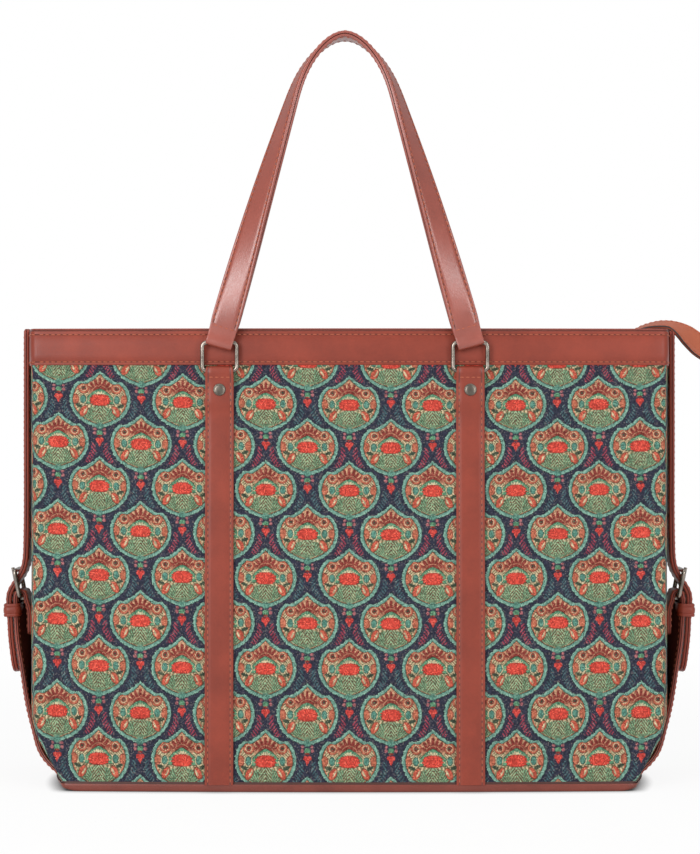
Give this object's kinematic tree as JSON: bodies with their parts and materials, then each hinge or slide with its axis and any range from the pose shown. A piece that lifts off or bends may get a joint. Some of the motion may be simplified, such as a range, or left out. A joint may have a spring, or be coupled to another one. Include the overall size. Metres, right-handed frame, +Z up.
{
  "type": "tote bag",
  "caption": "Zip-top tote of printed jute canvas with leather bands, straps on rings, two arched handles and buckled side straps.",
  "frame": {"origin": "middle of the bag's base, on the surface it stands on", "axes": "+X across the front to the right, front faces -Y, +Z up"},
  "size_m": [0.4831, 0.1419, 0.493],
  "materials": {
    "canvas": "printed plain-weave jute, navy ground",
    "print_green": "pale green print on jute",
    "print_red": "coral red print on jute",
    "board": "plain stiffener",
    "nickel": "antique nickel",
    "zip_tape": "brown woven tape with moulded teeth",
    "tan_leather": "orange tan leather, dark painted edge",
    "leather": "smooth reddish tan leather, stitched"
  },
  "bodies": {
    "bag": {"back_flowers": "print_red", "back_medallions": "print_green", "back_panel": "canvas", "back_rivets": "nickel", "back_strap_left": "leather", "back_strap_right": "leather", "back_top_band": "leather", "back_zip_facing": "leather", "back_zip_tape": "zip_tape", "base_board": "board", "base_canvas": "canvas", "base_leather": "leather", "front_flowers": "print_red", "front_medallions": "print_green", "front_panel": "canvas", "front_rivets": "nickel", "front_strap_left": "leather", "front_strap_right": "leather", "front_top_band": "leather", "front_zip_facing": "leather", "front_zip_tape": "zip_tape", "left_belt": "leather", "left_buckle": "nickel", "left_gusset": "canvas", "left_keeper": "leather", "left_prong": "nickel", "left_side_strap": "leather", "left_top_band": "leather", "right_belt": "leather", "right_buckle": "nickel", "right_gusset": "canvas", "right_keeper": "leather", "right_prong": "nickel", "right_side_strap": "leather", "right_top_band": "leather", "zip_end_tab": "tan_leather"},
    "front_ring_left_body": {"front_ring_left": "nickel"},
    "front_ring_right_body": {"front_ring_right": "nickel"},
    "front_handle_body": {"front_handle": "leather"},
    "back_ring_left_body": {"back_ring_left": "nickel"},
    "back_ring_right_body": {"back_ring_right": "nickel"},
    "back_handle_body": {"back_handle": "leather"},
    "slider_body": {"zip_slider": "nickel"},
    "puller_body": {"zip_puller": "nickel"}
  },
  "joints": [
    {"name": "front_ring_left_swing", "type": "hinge", "parent": "bag", "child": "front_ring_left_body", "pos_m": [-0.0844, -0.04914, 0.27319], "axis": [1, 0, 0], "range_deg": [0, 155.1]},
    {"name": "front_ring_right_swing", "type": "hinge", "parent": "bag", "child": "front_ring_right_body", "pos_m": [0.0788, -0.04914, 0.27319], "axis": [1, 0, 0], "range_deg": [0, 155.1]},
    {"name": "front_handle_swing", "type": "hinge", "parent": "front_ring_left_body", "child": "front_handle_body", "pos_m": [-0.0844, -0.05002, 0.29137], "axis": [1, 0, 0], "range_deg": [-8, 20.1]},
    {"name": "back_ring_left_swing", "type": "hinge", "parent": "bag", "child": "back_ring_left_body", "pos_m": [-0.0788, 0.04914, 0.27319], "axis": [1, 0, 0], "range_deg": [0, 155.1]},
    {"name": "back_ring_right_swing", "type": "hinge", "parent": "bag", "child": "back_ring_right_body", "pos_m": [0.0844, 0.04914, 0.27319], "axis": [1, 0, 0], "range_deg": [0, 155.1]},
    {"name": "back_handle_swing", "type": "hinge", "parent": "back_ring_left_body", "child": "back_handle_body", "pos_m": [-0.0788, 0.056, 0.25633], "axis": [1, 0, 0], "range_deg": [0, 28.1]},
    {"name": "slider_run", "type": "slide", "parent": "bag", "child": "slider_body", "axis": [1, 0, 0], "range_m": [0, 0.316]},
    {"name": "puller_swing", "type": "hinge", "parent": "slider_body", "child": "puller_body", "pos_m": [-0.166, 0, 0.29655], "axis": [0, 1, 0], "range_deg": [0, 160]}
  ],
  "couplings": [
    {"joint": "front_ring_right_swing", "follows": "front_ring_left_swing", "ratio": 1},
    {"joint": "back_ring_right_swing", "follows": "back_ring_left_swing", "ratio": 1}
  ]
}
